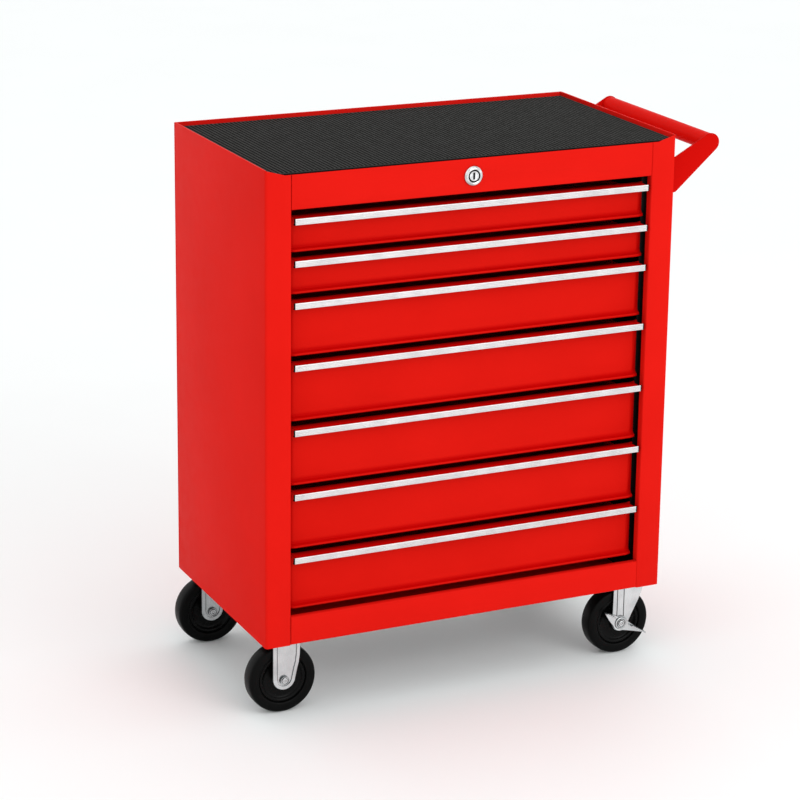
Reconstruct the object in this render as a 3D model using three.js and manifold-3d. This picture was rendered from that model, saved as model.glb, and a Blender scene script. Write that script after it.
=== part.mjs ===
// Rolling tool chest: a sheet steel cabinet with seven drawers, a matted top, a side handle,
// a central lock and four casters. Millimetres, +Z up, front towards -Y, handle towards +X.
// The origin is on the floor, under the middle of the whole object's box.
import * as THREE from 'three';
import { mergeVertices } from 'three/addons/utils/BufferGeometryUtils.js';
import Module from 'manifold-3d';

const wasm = await Module();
wasm.setup();

// ---- driving dimensions ----
const HALF_WIDTH = 298;
const HANDLE_REACH = 80;
const DEPTH = 330;
const HEIGHT = 750;
const LOCK_PROUD = 4;
const FRONT = -DEPTH / 2 + LOCK_PROUD;
const BACK = DEPTH / 2;
const SHEET = 1;
const GAP = 0.3;

// cabinet shell
const SKIRT_BOTTOM = 105;
const COLUMN_WIDTH = 36;
const OPENING_HALF = HALF_WIDTH - COLUMN_WIDTH;
const OPENING_BOTTOM = 144.5;
const OPENING_TOP = 696.4;
const COLUMN_RETURN = 11;
const LOW_RETURN = 8;
const RAIL_RETURN = 19;
const BASE_RETURN = 8;
const RAIL_TOP = 742.5;
const RAIL_BOTTOM = 105.3;
const REAR_FLANGE = 16;
const HEM = 1.6;
const HEM_HEIGHT = 12;
const FOLD_RADIUS = 2.5;
const COLUMN_RADIUS = 4;
const COLUMN_SLOPE = 27;
const BASE_HEM = 4.5;
const TRAY_FLANGE = 8;
const TRAY_FLANGE_INSET = 6;
const PAN_BOTTOM = 120.3;
const MAT_THICKNESS = 3;
const MAT_TOP = RAIL_TOP + 2.8;
const TRAY_TOP = MAT_TOP - MAT_THICKNESS - GAP;
const TRAY_HALF = HALF_WIDTH - SHEET - HEM - GAP;
const TRAY_FRONT = FRONT + SHEET + GAP;
const TRAY_BACK = BACK - SHEET - HEM - GAP;

// drawers, from the top down: height of each pull's top edge
const TOP_PULL = 685;
const SMALL_PITCH = 55.5;
const MIDDLE_PITCH = 83;
const LARGE_PITCH = 88;
const PITCHES = [SMALL_PITCH, SMALL_PITCH, MIDDLE_PITCH, LARGE_PITCH, LARGE_PITCH, LARGE_PITCH];
const DRAWER_GAP = 8.6;
const LAST_GAP = 6.5;
const FACE_HALF = OPENING_HALF - 2.5;
const LIP_HALF = FACE_HALF - 5;
const FACE_RECESS = 18;
const FLARE_DEPTH = 5;
const FLARE_HEIGHT = 11;
const BOX_HALF = OPENING_HALF - 16;
const BOX_BACK = 140;
const BOX_RAISE = 3;
const BOX_HEADROOM = 10;
const PULL_HALF = OPENING_HALF - 3.5;
const PULL_HEIGHT = 8.6;
const PULL_PROUD = 1;
const PULL_RETURN = 4.6;
const PULL_WALL = 1.8;
const PULL_LIP = 1.2;

// drawer slides
const SLIDE_RAISE = 19;
const SLIDE_SHEET = 1.2;
const CHANNEL_HALF = 14.2;
const CHANNEL_LIP = 10;
const RACK_FACE = BOX_HALF + 13.2;
const CHANNEL_MOUTH = BOX_HALF + 2.2;
const MEMBER_HALF = 12.4;
const MEMBER_WAIST = 7;
const MEMBER_OUTER = BOX_HALF + 7;
const SLIDE_FRONT = -138;
const SLIDE_BACK = 150;
const RACK_FRONT = SLIDE_FRONT - 1.5;
const RACK_BACK = SLIDE_BACK + 8;
const MEMBER_BACK = 138;

// central lock
const LOCK_X = -6;
const LOCK_Z = 719.7;
const LOCK_BARREL = 9.6;
const LOCK_DEPTH = 20;
const BEZEL_RADIUS = 13.4;
const BEZEL_CHAMFER = 1.6;
const CYLINDER_RADIUS = 6.9;
const CYLINDER_RECESS = 0.8;
const KEYWAY_HALF = [0.8, 4];
const KEYWAY_DEPTH = 6;
const ROD_RADIUS = 3;
const CRANK = 9;
const CRANK_SHEET = 3;
const CRANK_STANDOFF = 5;
const PIN_RADIUS = 2;
const PIN_SLACK = 0.7;
const BAR_HALF = 9;
const BAR_WEB_BACK = 157.2;
const BAR_FRONT = 148;
const BAR_BOTTOM = 135;
const BAR_GUIDES = [185, 645];
const GUIDE_HALF = 10;
const GUIDE_WRAP = 3;
const GUIDE_SLACK = 1.8;
const TAB_DROP = 8;
const TAB_SHORT = 2;

// side handle
const ARM_Y = 140;
const ARM_THICKNESS = 2.5;
const ARM_END_RADIUS = 13;
const ARM_END = [HALF_WIDTH + HANDLE_REACH - ARM_END_RADIUS, 730];
const ARM_ROOT_TOP = 708;
const ARM_ROOT_BOTTOM = 663;
const FOOT_WIDTH = 22;
const KNEE = [14, 3];
const GRIP_RADIUS = 12;
const GRIP_WALL = 1.8;

// casters
const WHEEL_RADIUS = 48;
const WHEEL_HALF = 12;
const HUB_RADIUS = 12;
const HUB_PROUD = 1;
const BEAD_RADIUS = 33;
const WEB_RECESS = 5;
const TREAD_SHOULDER = [3, 4];
const AXLE_RADIUS = 4;
const SHANK_RADIUS = 3.9;
const HEAD_RADIUS = 6.4;
const HEAD_HEIGHT = 3.2;
const HEAD_CHAMFER = 1;
const LEG_INNER = 14.2;
const LEG_SHEET = 2;
const PLATE_TOP = PAN_BOTTOM - GAP;
const PLATE_SHEET = 2.2;
const PLATE_HALF = [30, 24];
const FRONT_CASTER_Y = -126;
const REAR_CASTER_Y = 138;
const CASTER_X = 264;
const TRAIL = 15;
const CROWN_TOP = 104.5;
const CROWN_RADIUS = 24;
const RACE_RADIUS = 22;
const KING_PIN = [5, 8];
const LEVER_SHEET = 2;

// ---- materials ----
const FINISHES = {
  red: { color: 0xd8160f, roughness: 0.38, metalness: 0.0 },
  aluminium: { color: 0xd9dadc, roughness: 0.32, metalness: 0.9 },
  chrome: { color: 0xe6e6e8, roughness: 0.12, metalness: 1.0 },
  zinc: { color: 0xc9ccd0, roughness: 0.35, metalness: 0.85 },
  mat: { color: 0x2c2b2a, roughness: 0.85, metalness: 0.0 },
  tyre: { color: 0x161616, roughness: 0.6, metalness: 0.0 },
};

// ---- shape helpers ----
const X = new THREE.Vector3(1, 0, 0);
const Y = new THREE.Vector3(0, 1, 0);
const Z = new THREE.Vector3(0, 0, 1);

function solid(geometry) {
  const bare = geometry.clone();
  bare.deleteAttribute('normal');
  bare.deleteAttribute('uv');
  const merged = mergeVertices(bare, 1e-3);
  return new wasm.Manifold(new wasm.Mesh({
    numProp: 3,
    vertProperties: merged.attributes.position.array,
    triVerts: new Uint32Array(merged.index.array),
  }));
}

function geometryOf(manifold) {
  const mesh = manifold.getMesh();
  const geometry = new THREE.BufferGeometry();
  geometry.setAttribute('position', new THREE.BufferAttribute(mesh.vertProperties, 3));
  geometry.setIndex(new THREE.BufferAttribute(mesh.triVerts, 1));
  geometry.computeVertexNormals();
  return geometry;
}

function join(...geometries) {
  return geometries.map(solid).reduce((all, next) => all.add(next));
}

function box([x0, x1], [y0, y1], [z0, z1]) {
  const geometry = new THREE.BoxGeometry(x1 - x0, y1 - y0, z1 - z0);
  return geometry.translate((x0 + x1) / 2, (y0 + y1) / 2, (z0 + z1) / 2);
}

// Extrudes a shape along X (drawn in Y, Z), along Y (drawn in X, Z) or along Z (drawn in X, Y).
function extrude(shape, axis, from, to, curveSegments = 8) {
  const geometry = new THREE.ExtrudeGeometry(shape, {
    depth: to - from, bevelEnabled: false, curveSegments,
  });
  if (axis === 'x') {
    geometry.applyMatrix4(new THREE.Matrix4().makeBasis(Y, Z, X));
    return geometry.translate(from, 0, 0);
  }
  if (axis === 'y') {
    geometry.applyMatrix4(new THREE.Matrix4().makeBasis(X, Z, Y.clone().negate()));
    return geometry.translate(0, to, 0);
  }
  return geometry.translate(0, 0, from);
}

// Replaces a path's inner corners with short arcs, as a press brake leaves them. A point's
// third number is its own radius.
function foldCorners(path, radius, steps = 4) {
  const points = path.map(([u, v]) => new THREE.Vector2(u, v));
  const folded = [points[0]];
  for (let i = 1; i < points.length - 1; i += 1) {
    const back = points[i - 1].clone().sub(points[i]);
    const on = points[i + 1].clone().sub(points[i]);
    const reach = Math.min(path[i][2] ?? radius, back.length() / 2, on.length() / 2);
    const start = points[i].clone().add(back.setLength(reach));
    const end = points[i].clone().add(on.setLength(reach));
    const bend = new THREE.QuadraticBezierCurve(start, points[i], end);
    folded.push(...bend.getPoints(steps));
  }
  folded.push(points[points.length - 1]);
  return folded;
}

// Outline of a sheet bent along a path. The thickness lies to the path's left, or to its
// right when it is negative.
function bentSheet(path, thickness, radius = 0) {
  const points = radius > 0 ? foldCorners(path, radius) : path.map(([u, v]) => new THREE.Vector2(u, v));
  const normal = (a, b) => new THREE.Vector2(a.y - b.y, b.x - a.x).normalize();
  const other = points.map((point, i) => {
    const before = i > 0 ? normal(points[i - 1], point) : normal(point, points[i + 1]);
    const after = i < points.length - 1 ? normal(point, points[i + 1]) : before;
    const middle = before.clone().add(after).normalize();
    return point.clone().addScaledVector(middle, thickness / middle.dot(before));
  });
  return new THREE.Shape([...points, ...other.reverse()]);
}

// Ring or solid of revolution about Y, from a profile of [radius, y] pairs. A ring's runs up its
// bore and down its outside, and is closed here. A solid's runs down from the axis to the axis.
function turned(profile, segments = 24) {
  const points = profile.map(([radius, y]) => new THREE.Vector2(radius, y));
  if (profile[0][0] > 0) points.push(points[0].clone());
  return new THREE.LatheGeometry(points.reverse(), segments);
}

function cylinderY(radius, [y0, y1], segments = 24) {
  return new THREE.CylinderGeometry(radius, radius, y1 - y0, segments).translate(0, (y0 + y1) / 2, 0);
}

function cylinderZ(radius, [z0, z1], segments = 24) {
  const geometry = new THREE.CylinderGeometry(radius, radius, z1 - z0, segments);
  return geometry.rotateX(Math.PI / 2).translate(0, 0, (z0 + z1) / 2);
}

function mesh(name, shape, finish) {
  const geometry = shape.getMesh ? geometryOf(shape) : shape;
  const result = new THREE.Mesh(geometry, new THREE.MeshStandardMaterial(FINISHES[finish]));
  result.name = name;
  return result;
}

// ---- cabinet ----
// side is -1 on the left and 1 on the right; the panel is drawn on the left.
function sidePanel(side) {
  const plan = bentSheet([
    [-HALF_WIDTH + REAR_FLANGE, BACK - SHEET - GAP],
    [-HALF_WIDTH, BACK - SHEET - GAP],
    [-HALF_WIDTH, FRONT, COLUMN_RADIUS],
    [-OPENING_HALF, FRONT],
    [-OPENING_HALF, FRONT + COLUMN_RETURN],
  ], SHEET, FOLD_RADIUS);
  const inside = -HALF_WIDTH + SHEET;
  const hem = box(
    [inside - SHEET / 2, inside + HEM],
    [FRONT + COLUMN_RADIUS, TRAY_BACK],
    [HEIGHT - HEM_HEIGHT, HEIGHT],
  );
  const slope = new THREE.Shape([
    new THREE.Vector2(inside, HEIGHT),
    new THREE.Vector2(-HALF_WIDTH + COLUMN_SLOPE, RAIL_TOP),
    new THREE.Vector2(-OPENING_HALF + 1, RAIL_TOP),
    new THREE.Vector2(-OPENING_HALF + 1, HEIGHT + 1),
    new THREE.Vector2(inside, HEIGHT + 1),
  ]);
  const slopeCut = extrude(slope, 'y', FRONT - 1, FRONT + COLUMN_RADIUS);
  const underTray = box(
    [inside + HEM, -OPENING_HALF + 1],
    [FRONT + SHEET, FRONT + COLUMN_RETURN + 1],
    [TRAY_TOP - SHEET - 1, HEIGHT + 1],
  );
  const underPan = box(
    [-OPENING_HALF - SHEET - 1, -OPENING_HALF + 1],
    [FRONT + LOW_RETURN, FRONT + COLUMN_RETURN + 1],
    [SKIRT_BOTTOM - 1, PAN_BOTTOM + SHEET + GAP],
  );
  const behindHem = box(
    [inside, -HALF_WIDTH + REAR_FLANGE + 1],
    [TRAY_BACK, BACK],
    [HEIGHT - HEM_HEIGHT - GAP, HEIGHT + 1],
  );
  const panel = join(extrude(plan, 'z', SKIRT_BOTTOM, HEIGHT), hem)
    .subtract(solid(slopeCut))
    .subtract(solid(underTray))
    .subtract(solid(underPan))
    .subtract(solid(behindHem));
  return side < 0 ? panel : panel.mirror([1, 0, 0]);
}

function backPanel() {
  const sheet = box([-HALF_WIDTH, HALF_WIDTH], [BACK - SHEET, BACK], [SKIRT_BOTTOM, HEIGHT]);
  const hemHalf = HALF_WIDTH - SHEET - GAP;
  const hem = box(
    [-hemHalf, hemHalf],
    [BACK - SHEET - HEM, BACK - SHEET / 2],
    [HEIGHT - HEM_HEIGHT, HEIGHT],
  );
  const guides = [];
  for (const z of BAR_GUIDES) {
    for (const hand of [-1, 1]) {
      const strap = bentSheet([
        [LOCK_X + hand * (BAR_HALF - GUIDE_WRAP), BAR_FRONT - 2],
        [LOCK_X + hand * (BAR_HALF + GUIDE_SLACK), BAR_FRONT - 2],
        [LOCK_X + hand * (BAR_HALF + GUIDE_SLACK), BACK - SHEET / 2],
      ], hand * SLIDE_SHEET);
      guides.push(extrude(strap, 'z', z - GUIDE_HALF, z + GUIDE_HALF));
    }
  }
  return join(sheet, hem, ...guides);
}

// Flanges folded back from a rail's two ends, which close the seams beside the columns.
function railEnds(half, low, high) {
  return [-1, 1].map((hand) => box(
    [hand * (half - SHEET / 2) - SHEET / 2, hand * (half - SHEET / 2) + SHEET / 2],
    [FRONT + SHEET / 2, FRONT + LOW_RETURN],
    [low, high],
  ));
}

function topRail() {
  const section = bentSheet([
    [FRONT, RAIL_TOP],
    [FRONT, OPENING_TOP],
    [FRONT + RAIL_RETURN, OPENING_TOP],
  ], SHEET, FOLD_RADIUS);
  const half = OPENING_HALF - GAP;
  const lockHole = cylinderY(LOCK_BARREL + GAP, [FRONT - 1, FRONT + SHEET + 1]);
  lockHole.translate(LOCK_X, 0, LOCK_Z);
  const ends = railEnds(half, OPENING_TOP + SHEET / 2, TRAY_TOP - SHEET - GAP);
  return join(extrude(section, 'x', -half, half), ...ends).subtract(solid(lockHole));
}

function basePan() {
  const half = OPENING_HALF - GAP;
  const rail = bentSheet([
    [FRONT + BASE_RETURN, OPENING_BOTTOM],
    [FRONT, OPENING_BOTTOM],
    [FRONT, RAIL_BOTTOM],
    [FRONT + BASE_HEM, RAIL_BOTTOM],
  ], SHEET, FOLD_RADIUS);
  const wide = HALF_WIDTH - SHEET - FOLD_RADIUS / 2;
  const shoulder = FRONT + LOW_RETURN + GAP;
  const rear = BACK - 2 * SHEET - 2 * GAP;
  const floor = new THREE.Shape([
    [-half, FRONT + SHEET / 2],
    [half, FRONT + SHEET / 2],
    [half, shoulder],
    [wide, shoulder],
    [wide, rear],
    [-wide, rear],
    [-wide, shoulder],
    [-half, shoulder],
  ].map(([x, y]) => new THREE.Vector2(x, y)));
  return join(
    extrude(rail, 'x', -half, half),
    extrude(floor, 'z', PAN_BOTTOM, PAN_BOTTOM + SHEET),
    ...railEnds(half, RAIL_BOTTOM + SHEET / 2, OPENING_BOTTOM - SHEET / 2),
  );
}

function topTray() {
  const flange = [-OPENING_HALF + TRAY_FLANGE_INSET, OPENING_HALF - TRAY_FLANGE_INSET];
  const drop = [TRAY_TOP - TRAY_FLANGE, TRAY_TOP];
  const rear = TRAY_BACK - 2 * SHEET;
  return join(
    box([-TRAY_HALF, TRAY_HALF], [TRAY_FRONT, rear], [TRAY_TOP - SHEET, TRAY_TOP]),
    box(flange, [TRAY_FRONT, TRAY_FRONT + SHEET], drop),
    box(flange, [rear - SHEET, rear], drop),
  );
}

function topMat() {
  return box([-TRAY_HALF, TRAY_HALF], [TRAY_FRONT, TRAY_BACK - 2 * SHEET], [TRAY_TOP + GAP, MAT_TOP]);
}

// ---- drawers ----
const DRAWERS = [];
for (let i = 0, top = TOP_PULL; i <= PITCHES.length; i += 1) {
  const last = i === PITCHES.length;
  const below = last ? OPENING_BOTTOM + LAST_GAP : top - PITCHES[i] + DRAWER_GAP;
  DRAWERS.push({ top, bottom: below, slide: below + SLIDE_RAISE });
  top -= last ? 0 : PITCHES[i];
}

const FACE = FRONT + FACE_RECESS;

function drawerBody({ top, bottom }) {
  const flareRadius = (FLARE_HEIGHT ** 2 + FLARE_DEPTH ** 2) / (2 * FLARE_DEPTH);
  const flareAngle = Math.asin(FLARE_HEIGHT / flareRadius);
  const flare = [];
  const steps = 4;
  for (let i = steps; i >= 0; i -= 1) {
    const angle = (flareAngle * i) / steps;
    flare.push([
      FACE - flareRadius * (1 - Math.cos(angle)),
      bottom + FLARE_HEIGHT - flareRadius * Math.sin(angle),
    ]);
  }
  const lip = top - SHEET;
  const lipFront = FRONT - PULL_PROUD + PULL_WALL + GAP + SHEET;
  const front = bentSheet([
    [FACE + SHEET, bottom],
    ...flare,
    [FACE, lip],
    [lipFront, lip],
    [lipFront, top - PULL_HEIGHT + PULL_LIP + GAP],
  ], -SHEET);
  const floor = bottom + BOX_RAISE;
  const rim = top - BOX_HEADROOM;
  const outer = box([-BOX_HALF, BOX_HALF], [FACE + SHEET / 2, BOX_BACK], [floor, rim]);
  const inner = box(
    [-BOX_HALF + SHEET, BOX_HALF - SHEET],
    [FACE + SHEET, BOX_BACK - SHEET],
    [floor + SHEET, rim + 1],
  );
  const tub = solid(outer).subtract(solid(inner));
  const shell = join(extrude(front, 'x', -FACE_HALF, FACE_HALF)).add(tub);
  const besideLip = [[-FACE_HALF - 1, -LIP_HALF], [LIP_HALF, FACE_HALF + 1]].map((width) => solid(
    box(width, [FRONT - PULL_PROUD, FACE], [top - PULL_HEIGHT, top + 1]),
  ));
  return shell.subtract(besideLip[0]).subtract(besideLip[1]);
}

function drawerPull({ top }) {
  const web = FRONT - PULL_PROUD;
  const section = new THREE.Shape([
    [web, top - PULL_HEIGHT],
    [web + PULL_RETURN, top - PULL_HEIGHT],
    [web + PULL_RETURN, top - PULL_HEIGHT + PULL_LIP],
    [web + PULL_WALL, top - PULL_HEIGHT + PULL_LIP],
    [web + PULL_WALL, top],
    [web, top],
  ].map(([y, z]) => new THREE.Vector2(y, z)));
  return extrude(section, 'x', -PULL_HALF, PULL_HALF);
}

function slideMember(side, { slide }) {
  const web = BOX_HALF + GAP + SLIDE_SHEET;
  const section = bentSheet([
    [-MEMBER_OUTER, slide + MEMBER_HALF],
    [-MEMBER_OUTER, slide + MEMBER_WAIST],
    [-web, slide + MEMBER_WAIST],
    [-web, slide - MEMBER_WAIST],
    [-MEMBER_OUTER, slide - MEMBER_WAIST],
    [-MEMBER_OUTER, slide - MEMBER_HALF],
  ], SLIDE_SHEET);
  const member = join(extrude(section, 'y', SLIDE_FRONT, MEMBER_BACK));
  return side < 0 ? member : member.mirror([1, 0, 0]);
}

function slideRack(side) {
  const wall = HALF_WIDTH - SHEET - GAP;
  const plan = bentSheet([
    [-wall, RACK_FRONT],
    [-RACK_FACE, RACK_FRONT],
    [-RACK_FACE, RACK_BACK],
    [-wall, RACK_BACK],
  ], SHEET);
  const bottom = PAN_BOTTOM + SHEET + GAP;
  const parts = [extrude(plan, 'z', bottom, HEIGHT - HEM_HEIGHT - GAP)];
  for (const { slide } of DRAWERS) {
    for (const hand of [-1, 1]) {
      const path = [
        [-CHANNEL_MOUTH, slide + hand * CHANNEL_LIP],
        [-CHANNEL_MOUTH, slide + hand * CHANNEL_HALF],
        [-RACK_FACE - SHEET / 2, slide + hand * CHANNEL_HALF],
      ];
      parts.push(extrude(bentSheet(path, hand * SLIDE_SHEET), 'y', SLIDE_FRONT, SLIDE_BACK));
    }
  }
  const rack = join(...parts);
  return side < 0 ? rack : rack.mirror([1, 0, 0]);
}

// ---- central lock ----
function lockHousing() {
  const bore = CYLINDER_RADIUS + GAP;
  const face = FRONT - LOCK_PROUD;
  const rear = FRONT + LOCK_DEPTH;
  return turned([
    [bore, face + CYLINDER_RECESS / 2],
    [bore, rear],
    [LOCK_BARREL, rear],
    [LOCK_BARREL, FRONT - GAP],
    [BEZEL_RADIUS, FRONT - GAP],
    [BEZEL_RADIUS, face + BEZEL_CHAMFER],
    [BEZEL_RADIUS - BEZEL_CHAMFER, face],
    [bore + CYLINDER_RECESS, face],
  ]).translate(LOCK_X, 0, LOCK_Z);
}

function lockCylinder() {
  const face = FRONT - LOCK_PROUD;
  const [halfWidth, halfHeight] = KEYWAY_HALF;
  const plug = cylinderY(CYLINDER_RADIUS, [face + CYLINDER_RECESS, FRONT + LOCK_DEPTH + 1]);
  const slot = box([-halfWidth, halfWidth], [face, FRONT + KEYWAY_DEPTH], [-halfHeight, halfHeight]);
  return solid(plug).subtract(solid(slot)).translate([LOCK_X, 0, LOCK_Z]);
}

// At rest the crank pin is down and to the left; a quarter turn clockwise lifts it.
const PIN_OFFSET = CRANK * Math.SQRT1_2;

function lockRod() {
  const crankBack = BAR_WEB_BACK - CRANK_STANDOFF;
  const crankFront = crankBack - CRANK_SHEET;
  const rod = cylinderY(ROD_RADIUS, [FRONT + LOCK_DEPTH + 1 + GAP, crankFront + 1], 12);
  const arm = new THREE.Shape();
  arm.absarc(0, 0, ROD_RADIUS + 2, -Math.PI / 4, (3 * Math.PI) / 4, false);
  arm.absarc(-PIN_OFFSET, -PIN_OFFSET, PIN_RADIUS + 1.5, (3 * Math.PI) / 4, (7 * Math.PI) / 4, false);
  const crank = extrude(arm, 'y', crankFront, crankBack, 6);
  const pin = cylinderY(PIN_RADIUS, [crankBack - 1, BAR_WEB_BACK + 2 * SLIDE_SHEET], 12);
  pin.translate(-PIN_OFFSET, 0, -PIN_OFFSET);
  return join(rod, crank, pin).translate([LOCK_X, 0, LOCK_Z]);
}

function lockBar() {
  const channel = bentSheet([
    [LOCK_X + BAR_HALF, BAR_FRONT],
    [LOCK_X + BAR_HALF, BAR_WEB_BACK],
    [LOCK_X - BAR_HALF, BAR_WEB_BACK],
    [LOCK_X - BAR_HALF, BAR_FRONT],
  ], SLIDE_SHEET);
  const pinZ = LOCK_Z - PIN_OFFSET;
  const slotHalf = PIN_RADIUS + PIN_SLACK;
  const headTop = pinZ + slotHalf + 4.3;
  const channelTop = pinZ - 18;
  const head = box(
    [LOCK_X - BAR_HALF - 6, LOCK_X + BAR_HALF + 1],
    [BAR_WEB_BACK - SLIDE_SHEET, BAR_WEB_BACK],
    [channelTop - 7, headTop],
  );
  const slot = box(
    [LOCK_X - CRANK - 3.2, LOCK_X - PIN_OFFSET + slotHalf + 1.2],
    [BAR_WEB_BACK - 2 * SLIDE_SHEET, BAR_WEB_BACK + 1],
    [pinZ - slotHalf, pinZ + slotHalf],
  );
  const tabs = DRAWERS.map(({ top }) => {
    const z = top - BOX_HEADROOM - TAB_DROP;
    return box(
      [LOCK_X - BAR_HALF + SLIDE_SHEET / 2, LOCK_X + BAR_HALF - SLIDE_SHEET / 2],
      [BOX_BACK + TAB_SHORT, BAR_WEB_BACK - SLIDE_SHEET / 2],
      [z, z + SLIDE_SHEET],
    );
  });
  return join(extrude(channel, 'z', BAR_BOTTOM, channelTop), head, ...tabs).subtract(solid(slot));
}

// ---- side handle ----
function handleBracket(side) {
  const [endX, endZ] = ARM_END;
  const root = HALF_WIDTH + GAP;
  const tangent = (x, z, hand) => {
    const distance = Math.hypot(endX - x, endZ - z);
    const aim = Math.atan2(endZ - z, endX - x);
    return aim + hand * (Math.asin(ARM_END_RADIUS / distance) + Math.PI / 2);
  };
  const kneeX = root + KNEE[0];
  const kneeZ = ARM_ROOT_BOTTOM + KNEE[1];
  const outline = new THREE.Shape();
  outline.moveTo(root, ARM_ROOT_TOP);
  outline.lineTo(root, ARM_ROOT_BOTTOM);
  outline.lineTo(kneeX, kneeZ);
  const lower = tangent(kneeX, kneeZ, -1);
  const upper = tangent(root, ARM_ROOT_TOP, 1);
  outline.absarc(endX, endZ, ARM_END_RADIUS, lower, upper, false);
  const middle = side * ARM_Y;
  const arm = extrude(outline, 'y', middle - ARM_THICKNESS / 2, middle + ARM_THICKNESS / 2, 16);
  const inner = middle - side * FOOT_WIDTH;
  const foot = box(
    [root, root + ARM_THICKNESS],
    [Math.min(middle, inner), Math.max(middle, inner)],
    [ARM_ROOT_BOTTOM, ARM_ROOT_TOP],
  );
  return join(arm, foot);
}

function handleGrip() {
  const end = ARM_Y - ARM_THICKNESS / 2 - GAP;
  const bore = GRIP_RADIUS - GRIP_WALL;
  const grip = turned([
    [bore, -end],
    [bore, end],
    [GRIP_RADIUS, end],
    [GRIP_RADIUS, -end],
  ]);
  return grip.translate(ARM_END[0], 0, ARM_END[1]);
}

// ---- casters, drawn about their own vertical axis ----
function wheel() {
  const half = WHEEL_HALF;
  const bore = AXLE_RADIUS + GAP;
  const hub = half + HUB_PROUD;
  const web = half - WEB_RECESS;
  const [shoulder, chamfer] = TREAD_SHOULDER;
  return turned([
    [bore, -hub],
    [bore, hub],
    [HUB_RADIUS, hub],
    [HUB_RADIUS + 1, web],
    [BEAD_RADIUS, web],
    [BEAD_RADIUS + 1, half],
    [WHEEL_RADIUS - shoulder, half],
    [WHEEL_RADIUS, half - chamfer],
    [WHEEL_RADIUS, -half + chamfer],
    [WHEEL_RADIUS - shoulder, -half],
    [BEAD_RADIUS + 1, -half],
    [BEAD_RADIUS, -web],
    [HUB_RADIUS + 1, -web],
    [HUB_RADIUS, -hub],
  ], 32);
}

// front is how far the head stands in front of the wheel's middle
function axle(front) {
  const rear = LEG_INNER + LEG_SHEET + GAP;
  return turned([
    [0, rear + HEAD_HEIGHT],
    [HEAD_RADIUS, rear + HEAD_HEIGHT],
    [HEAD_RADIUS, rear],
    [SHANK_RADIUS, rear],
    [SHANK_RADIUS, -front],
    [HEAD_RADIUS, -front],
    [HEAD_RADIUS, -front - HEAD_HEIGHT + HEAD_CHAMFER],
    [HEAD_RADIUS - HEAD_CHAMFER, -front - HEAD_HEIGHT],
    [0, -front - HEAD_HEIGHT],
  ], 16);
}

function legPair(outline, axleX) {
  const hole = cylinderY(AXLE_RADIUS + GAP, [-LEG_INNER - 5, LEG_INNER + 5], 16);
  hole.translate(axleX, 0, WHEEL_RADIUS);
  const legs = [-1, 1].map((hand) => {
    const y = [hand * LEG_INNER, hand * (LEG_INNER + LEG_SHEET)].sort((a, b) => a - b);
    return extrude(outline, 'y', y[0], y[1], 12);
  });
  return { legs, hole };
}

function mountingPlate() {
  const [halfX, halfY] = PLATE_HALF;
  return box([-halfX, halfX], [-halfY, halfY], [PLATE_TOP - PLATE_SHEET, PLATE_TOP]);
}

function rigidFork() {
  const round = 16;
  const roundZ = WHEEL_RADIUS + 2.5;
  const outline = new THREE.Shape();
  outline.moveTo(-round, PLATE_TOP - 1);
  outline.absarc(0, roundZ, round, Math.PI, -Math.PI / 30, false);
  outline.quadraticCurveTo(22, 74, 23, 92);
  outline.lineTo(23, PLATE_TOP - 1);
  const { legs, hole } = legPair(outline, 0);
  return join(mountingPlate(), ...legs).subtract(solid(hole));
}

function swivelPlate() {
  const raceTop = PLATE_TOP - PLATE_SHEET / 2;
  const [pin, pinHead] = KING_PIN;
  return join(
    mountingPlate(),
    cylinderZ(RACE_RADIUS, [CROWN_TOP + GAP, raceTop]),
    cylinderZ(pin, [CROWN_TOP - 4, raceTop], 16),
    cylinderZ(pinHead, [CROWN_TOP - 5, CROWN_TOP - LEG_SHEET - GAP], 16),
  );
}

function swivelFork() {
  const axleX = -TRAIL;
  const round = 12.5;
  const outline = new THREE.Shape();
  outline.moveTo(axleX - 11, CROWN_TOP);
  outline.lineTo(axleX - round, WHEEL_RADIUS);
  outline.absarc(axleX, WHEEL_RADIUS, round, Math.PI, -Math.PI / 9, false);
  outline.lineTo(axleX + 20.5, 62);
  outline.lineTo(axleX + 33.5, 90);
  outline.quadraticCurveTo(axleX + 36.8, 97, axleX + 36.8, CROWN_TOP);
  const { legs, hole } = legPair(outline, axleX);
  const pinHole = cylinderZ(KING_PIN[0] + 2 * GAP, [CROWN_TOP - 10, CROWN_TOP + 1], 16);
  const crown = cylinderZ(CROWN_RADIUS, [CROWN_TOP - LEG_SHEET, CROWN_TOP]);
  return join(crown, ...legs).subtract(solid(hole)).subtract(solid(pinHole));
}

// A rocking pedal over the fork's front leg, drawn level about its pivot and then tilted. Its
// upper edge is straight and folded forward at both ends, where the foot presses.
const LEVER_TILT = THREE.MathUtils.degToRad(-31);
const LEVER_BACK = -(LEG_INNER + LEG_SHEET + GAP);
const LEVER_LEFT = -32.5;
const LEVER_RIGHT = 44;
const LEVER_TIP = 3.2;
const TREAD_DEPTH = 8;
const TREAD_SHEET = 1.8;
const TREADS = [[LEVER_LEFT + 1, -15], [16, LEVER_RIGHT - 1]];
const BULGE = 12;
const UPPER_BULGE = 10.5;

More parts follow.
